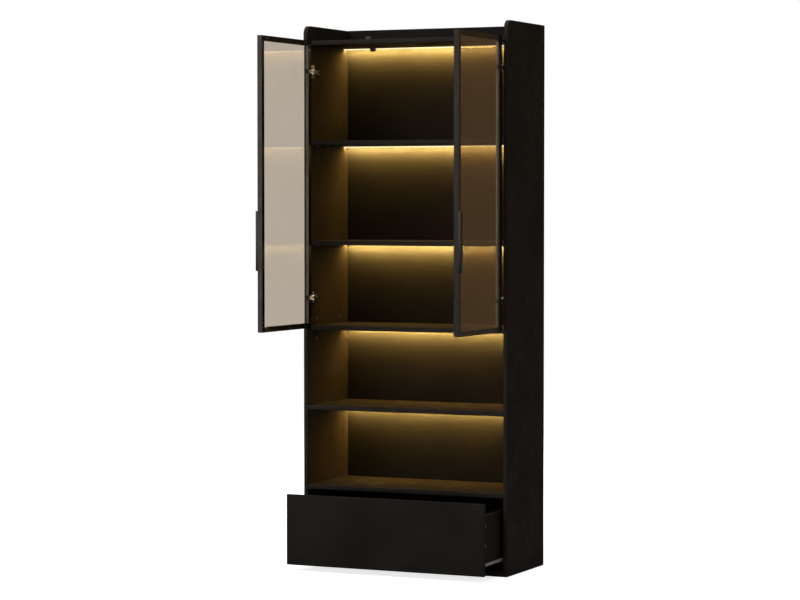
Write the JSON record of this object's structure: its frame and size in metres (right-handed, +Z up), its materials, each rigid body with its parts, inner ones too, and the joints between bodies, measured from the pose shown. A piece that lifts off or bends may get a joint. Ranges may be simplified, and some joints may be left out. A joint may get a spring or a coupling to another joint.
{
  "type": "bookcase with glass doors",
  "caption": "Tall black display bookcase with glass doors above open lit shelves and a drawer at its foot.",
  "frame": {"origin": "middle of the cabinet's footprint, on the floor", "axes": "+Z up, -Y out of the open front, +X to the right seen from the front"},
  "size_m": [0.8, 0.7415, 1.96],
  "materials": {
    "black_board": "matte black foil on chipboard",
    "black_back": "matte black foil on hardboard",
    "black_plastic": "matte",
    "channel_metal": "dark anodised",
    "strip_board": "matte",
    "warm_diffuser": "milky",
    "zinc": "zinc plated",
    "dowel_wood": "bare beech",
    "nickel": "nickel plated",
    "slide_metal": "grey enamel",
    "roller_plastic": "nylon",
    "bracket_metal": "black enamel",
    "dark_aluminium": "dark anodised",
    "tinted_glass": "bronze tinted",
    "gasket_rubber": "matte"
  },
  "bodies": {
    "cabinet": {"back_joining_strip": "black_plastic", "back_panel_lower": "black_back", "back_panel_upper": "black_back", "bottom_panel": "black_board", "dowels": "dowel_wood", "drawer_ceiling": "black_board", "fixed_shelf": "black_board", "hinge_arms": "nickel", "hinge_pins": "nickel", "hinge_plates": "nickel", "joint_bolts": "zinc", "joint_cams": "zinc", "light_channels": "channel_metal", "light_diffusers": "warm_diffuser", "light_strips": "strip_board", "light_switch": "black_plastic", "middle_shelf": "black_board", "open_shelf": "black_board", "panel_screws": "nickel", "runners": "slide_metal", "shelf_pins": "zinc", "side_panel_left_lower": "black_board", "side_panel_left_upper": "black_board", "side_panel_right_lower": "black_board", "side_panel_right_upper": "black_board", "top_panel": "black_board", "upper_shelf": "black_board", "wall_brackets": "bracket_metal"},
    "left_door": {"door_left_corner_brackets": "zinc", "door_left_corner_screws": "zinc", "door_left_gasket": "gasket_rubber", "door_left_glass": "tinted_glass", "door_left_handle": "dark_aluminium", "door_left_hinge_cups": "black_plastic", "door_left_rail_bottom": "dark_aluminium", "door_left_rail_top": "dark_aluminium", "door_left_stile_free": "dark_aluminium", "door_left_stile_hinge": "dark_aluminium"},
    "right_door": {"door_right_corner_brackets": "zinc", "door_right_corner_screws": "zinc", "door_right_gasket": "gasket_rubber", "door_right_glass": "tinted_glass", "door_right_handle": "dark_aluminium", "door_right_hinge_cups": "black_plastic", "door_right_rail_bottom": "dark_aluminium", "door_right_rail_top": "dark_aluminium", "door_right_stile_free": "dark_aluminium", "door_right_stile_hinge": "dark_aluminium"},
    "left_links": {"hinge_links_left": "nickel"},
    "right_links": {"hinge_links_right": "nickel"},
    "drawer": {"drawer_back": "black_board", "drawer_bolts": "zinc", "drawer_bottom": "black_back", "drawer_cams": "zinc", "drawer_front": "black_board", "drawer_side_left": "black_board", "drawer_side_right": "black_board", "drawer_slides": "slide_metal"},
    "front_rollers": {"front_rollers": "roller_plastic"},
    "rear_rollers": {"rear_rollers": "roller_plastic"}
  },
  "joints": [
    {"name": "left_door_hinge", "type": "hinge", "parent": "cabinet", "child": "left_door", "pos_m": [-0.388, -0.18, 1.3845], "axis": [0, 0, 1], "range_deg": [0, 90]},
    {"name": "right_door_hinge", "type": "hinge", "parent": "cabinet", "child": "right_door", "pos_m": [0.388, -0.18, 1.3845], "axis": [0, 0, -1], "range_deg": [0, 90]},
    {"name": "left_link_turn", "type": "hinge", "parent": "cabinet", "child": "left_links", "pos_m": [-0.369, -0.1615, 1.3845], "axis": [0, 0, 1], "range_deg": [-1, 91]},
    {"name": "right_link_turn", "type": "hinge", "parent": "cabinet", "child": "right_links", "pos_m": [0.369, -0.1615, 1.3845], "axis": [0, 0, -1], "range_deg": [-1, 91]},
    {"name": "drawer_slide", "type": "slide", "parent": "cabinet", "child": "drawer", "axis": [0, -1, 0], "range_m": [-0.172, 0.06]},
    {"name": "front_roller_spin", "type": "hinge", "parent": "cabinet", "child": "front_rollers", "pos_m": [0, -0.1455, 0.0553], "axis": [1, 0, 0], "continuous": true},
    {"name": "rear_roller_spin", "type": "hinge", "parent": "drawer", "child": "rear_rollers", "pos_m": [0, -0.043, 0.0533], "axis": [1, 0, 0], "continuous": true}
  ],
  "couplings": [
    {"joint": "left_link_turn", "follows": "left_door_hinge", "ratio": 1},
    {"joint": "right_link_turn", "follows": "right_door_hinge", "ratio": 1},
    {"joint": "front_roller_spin", "follows": "drawer_slide", "rad_per_m": 125},
    {"joint": "rear_roller_spin", "follows": "drawer_slide", "rad_per_m": 125}
  ]
}
